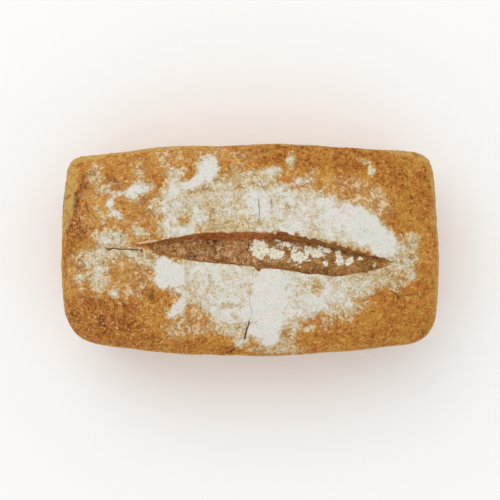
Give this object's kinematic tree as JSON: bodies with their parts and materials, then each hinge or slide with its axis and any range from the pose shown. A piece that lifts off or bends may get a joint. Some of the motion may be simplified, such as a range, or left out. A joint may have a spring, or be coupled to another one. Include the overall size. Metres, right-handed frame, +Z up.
{
  "type": "sourdough loaf",
  "caption": "Uncut sourdough loaf baked in an oblong tin, with tapered walls, a crust that bows out over them, a long open slash along the flat crown and a flat base.",
  "frame": {"origin": "middle of the loaf's box, on the plane of its flat base", "axes": "+X along the loaf, towards the pointed end of the slash; +Y across it, towards the side of the raised lip; +Z up"},
  "size_m": [0.23, 0.1294, 0.084],
  "materials": {
    "crust": "matte"
  },
  "bodies": {
    "root": {"loaf": "crust"}
  },
  "joints": []
}
